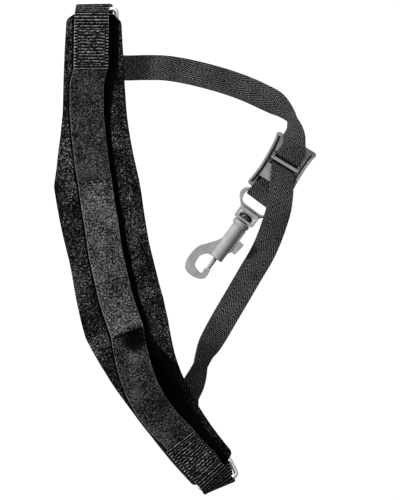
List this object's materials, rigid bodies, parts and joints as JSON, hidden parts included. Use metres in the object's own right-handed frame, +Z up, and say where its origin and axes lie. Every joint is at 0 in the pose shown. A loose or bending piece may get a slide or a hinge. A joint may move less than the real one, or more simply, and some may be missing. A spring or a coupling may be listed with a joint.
{
  "type": "saxophone neck strap",
  "caption": "Padded neck strap lying flat: crescent pad with a loose band and end rings, woven tape, ladder-lock slider and swivel snap hook with a sprung bolt.",
  "frame": {"origin": "under the middle of the strap's bounding box, on the surface it lies on", "axes": "+Y along the strap towards its upper pad end, +X from the pad towards the slider and hook, +Z up"},
  "size_m": [0.1958, 0.365, 0.0298],
  "materials": {
    "lining": "matte",
    "foam": "matte",
    "loop_fabric": "matte",
    "band_cloth": "matte",
    "webbing": "matte",
    "thread": "satin",
    "tape": "matte",
    "ring_metal": "polished",
    "spring_steel": "satin",
    "pin_metal": "satin",
    "grey_plastic": "satin"
  },
  "bodies": {
    "root": {"pad_lining": "lining", "pad_core": "foam", "pad_face": "loop_fabric", "control_band": "band_cloth", "band_panel": "band_cloth", "band_seam_upper": "thread", "band_seam_lower": "thread", "upper_tab": "webbing", "lower_tab": "webbing", "upper_tab_stitching": "thread", "lower_tab_stitching": "thread", "tape_upper_run": "tape", "tape_hook_bight": "tape", "tape_lower_run": "tape"},
    "upper_ring": {"upper_ring": "ring_metal", "upper_tape_loop": "tape", "upper_loop_tack": "thread"},
    "lower_ring": {"lower_ring": "ring_metal", "lower_tape_loop": "tape", "lower_loop_tack": "thread"},
    "slider": {"slider": "grey_plastic"},
    "hook_eye": {"hook_eye": "grey_plastic"},
    "hook": {"hook_body": "grey_plastic", "swivel_stud": "pin_metal", "bolt_spring": "spring_steel"},
    "bolt": {"bolt_pin": "pin_metal", "thumb_knob": "grey_plastic"}
  },
  "joints": [
    {"name": "upper_ring_swing", "type": "hinge", "parent": "root", "child": "upper_ring", "pos_m": [-0.06634, 0.17837, 0.00625], "axis": [0.9999, 0.017, 0], "range_deg": [0, 90], "deforming": ["tape_upper_run"]},
    {"name": "lower_ring_swing", "type": "hinge", "parent": "root", "child": "lower_ring", "pos_m": [0.02566, -0.17434, 0.01136], "axis": [-0.891, -0.346, 0.294], "range_deg": [0, 90], "deforming": ["tape_lower_run"]},
    {"name": "slider_slide", "type": "slide", "parent": "root", "child": "slider", "axis": [0.515, 0.8572, 0], "range_m": [0, 0.012], "deforming": ["tape_upper_run", "tape_hook_bight", "tape_lower_run"]},
    {"name": "hook_swing", "type": "hinge", "parent": "root", "child": "hook_eye", "pos_m": [0.05635, 0.03775, 0.0069], "axis": [0.8039, -0.5948, 0], "range_deg": [-90, 90], "deforming": ["tape_hook_bight"]},
    {"name": "hook_swivel", "type": "hinge", "parent": "hook_eye", "child": "hook", "pos_m": [0.0416, 0.01782, 0.0069], "axis": [0.5948, 0.8039, 0], "continuous": true},
    {"name": "bolt_slide", "type": "slide", "parent": "hook", "child": "bolt", "axis": [0.5948, 0.8039, 0], "range_m": [0, 0.0085], "stiffness_N_per_m": 300, "springref_m": -0.008, "deforming": ["bolt_spring"]}
  ]
}
